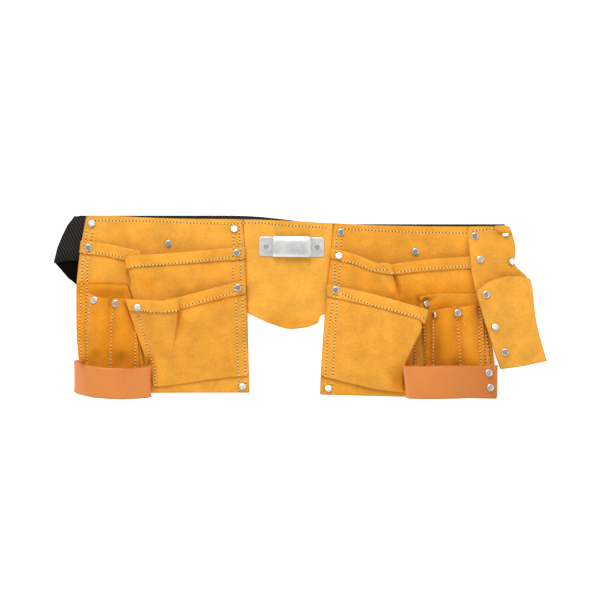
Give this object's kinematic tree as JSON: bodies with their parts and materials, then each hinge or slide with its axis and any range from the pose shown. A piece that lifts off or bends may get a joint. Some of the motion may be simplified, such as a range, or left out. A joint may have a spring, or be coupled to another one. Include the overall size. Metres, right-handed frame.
{
  "type": "carpenter nail apron",
  "caption": "Suede work apron with two bags of pleated nail pockets, tool slots, hammer loops, a tape clip and a tool sheath on a webbing belt, lying flat",
  "frame": {"origin": "on the ground under the middle of the apron's bounding box", "axes": "+X along the belt to the wearer's left, +Y up the apron's front towards the belt, +Z out of its front, upwards as it lies"},
  "size_m": [0.5448, 0.2032, 0.0483],
  "materials": {
    "suede": "golden split suede with a short nap",
    "tan_leather": "smooth tan strap leather",
    "webbing": "black woven belt webbing",
    "rivet": "bright nickel rivet caps",
    "clip_steel": "galvanised sheet steel",
    "buckle": "plain black plastic"
  },
  "bodies": {
    "root": {"waist_belt": "webbing", "belt_buckle": "buckle", "centre_panel": "suede", "left_back_panel": "suede", "left_back_pocket": "suede", "left_tool_slot_rear": "suede", "left_tool_slots": "suede", "left_nail_pocket": "suede", "right_back_panel": "suede", "right_back_pocket": "suede", "right_tool_slot_rear": "suede", "right_tool_slots": "suede", "right_nail_pocket": "suede", "holder_backing": "suede", "holder_sheath": "suede", "left_hammer_loop": "tan_leather", "right_hammer_loop": "tan_leather", "tape_clip": "clip_steel", "tape_clip_fixing_left": "clip_steel", "tape_clip_fixing_right": "clip_steel", "left_rivet_1": "rivet", "left_rivet_2": "rivet", "left_rivet_3": "rivet", "left_rivet_4": "rivet", "left_rivet_5": "rivet", "left_rivet_6": "rivet", "left_rivet_7": "rivet", "left_rivet_8": "rivet", "left_rivet_9": "rivet", "left_rivet_10": "rivet", "right_rivet_1": "rivet", "right_rivet_2": "rivet", "right_rivet_3": "rivet", "right_rivet_4": "rivet", "right_rivet_5": "rivet", "right_rivet_6": "rivet", "right_rivet_7": "rivet", "right_rivet_8": "rivet", "right_loop_rivet_1": "rivet", "right_loop_rivet_2": "rivet", "holder_rivet_1": "rivet", "holder_rivet_2": "rivet", "holder_rivet_3": "rivet", "holder_rivet_4": "rivet", "holder_rivet_5": "rivet", "holder_rivet_6": "rivet", "holder_rivet_7": "rivet"}
  },
  "joints": []
}
